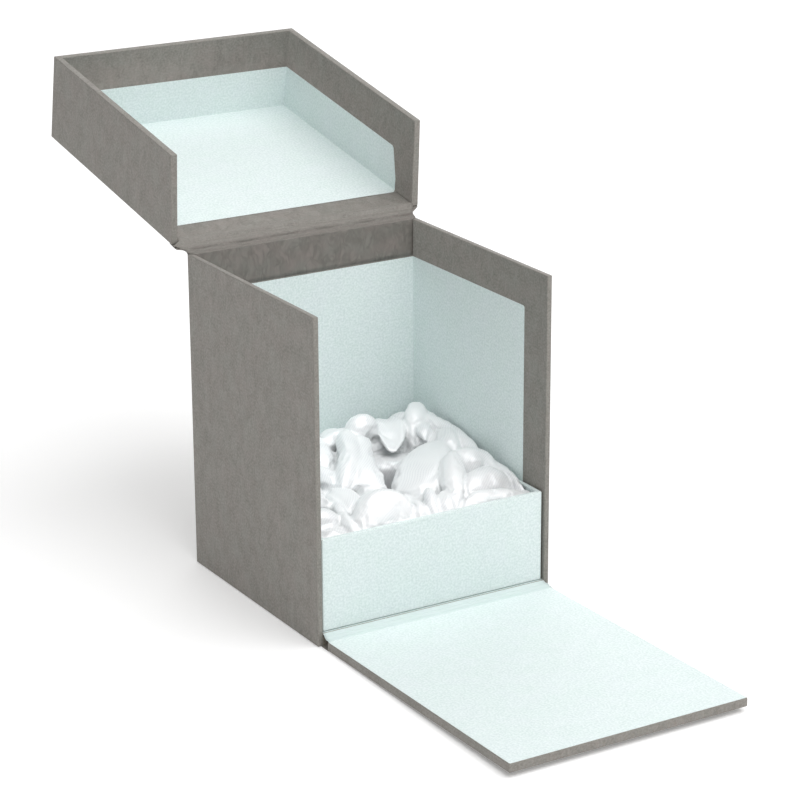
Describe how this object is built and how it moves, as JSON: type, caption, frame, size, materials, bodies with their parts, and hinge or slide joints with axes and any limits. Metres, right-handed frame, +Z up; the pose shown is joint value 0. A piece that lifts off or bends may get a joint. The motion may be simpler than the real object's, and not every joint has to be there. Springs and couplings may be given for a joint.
{
  "type": "jewelry gift box",
  "caption": "Rigid paper-covered gift box with a drop-down front door, a hinged lid and a lift-out tray padded with gathered satin around a well.",
  "frame": {"origin": "centre of the body's footprint, on the surface that the box stands on", "axes": "+Z up, -Y out of the open front towards the door, +X to the right seen from the front"},
  "size_m": [0.1084, 0.3324, 0.1816],
  "materials": {
    "grey_paper": "matt embossed grey cover paper",
    "mint_paper": "matt embossed pale mint lining paper",
    "greyboard": "raw recycled greyboard",
    "satin": "white satin with a fine diagonal weave",
    "foam": "open-cell upholstery foam"
  },
  "bodies": {
    "box_body": {"base_board": "greyboard", "floor_board": "greyboard", "floor_lining": "mint_paper", "base_cover_paper": "grey_paper", "left_wall_board": "greyboard", "right_wall_board": "greyboard", "back_wall_board": "greyboard", "left_wall_lining": "mint_paper", "right_wall_lining": "mint_paper", "back_wall_lining": "mint_paper", "body_cover_paper": "grey_paper", "door_hinge_outer_paper": "grey_paper", "door_hinge_inner_paper": "mint_paper", "lid_hinge_outer_paper": "grey_paper", "lid_hinge_inner_paper": "grey_paper"},
    "front_door": {"door_board": "greyboard", "door_cover_paper": "grey_paper", "door_lining": "mint_paper"},
    "lid": {"lid_panel_board": "greyboard", "lid_front_wall_board": "greyboard", "lid_left_wall_board": "greyboard", "lid_right_wall_board": "greyboard", "lid_front_lining": "mint_paper", "lid_floor_lining": "mint_paper", "lid_left_lining": "mint_paper", "lid_right_lining": "mint_paper", "lid_cover_paper": "grey_paper"},
    "tray": {"tray_floor_board": "greyboard", "tray_front_board": "greyboard", "tray_back_board": "greyboard", "tray_left_board": "greyboard", "tray_right_board": "greyboard", "tray_cover_paper": "mint_paper", "foam_block": "foam", "satin_lining": "satin"}
  },
  "joints": [
    {"name": "door_hinge", "type": "hinge", "parent": "box_body", "child": "front_door", "pos_m": [0, -0.05185, 0], "axis": [-1, 0, 0], "range_deg": [0, 89.1], "deforming": ["door_hinge_outer_paper", "door_hinge_inner_paper"]},
    {"name": "lid_hinge", "type": "hinge", "parent": "box_body", "child": "lid", "pos_m": [0, 0.05305, 0.12679], "axis": [1, 0, 0], "range_deg": [0, 169.4], "deforming": ["lid_hinge_outer_paper", "lid_hinge_inner_paper"]},
    {"name": "tray_lift", "type": "slide", "parent": "box_body", "child": "tray", "axis": [0, 0, 1], "range_m": [0, 0.05]}
  ]
}
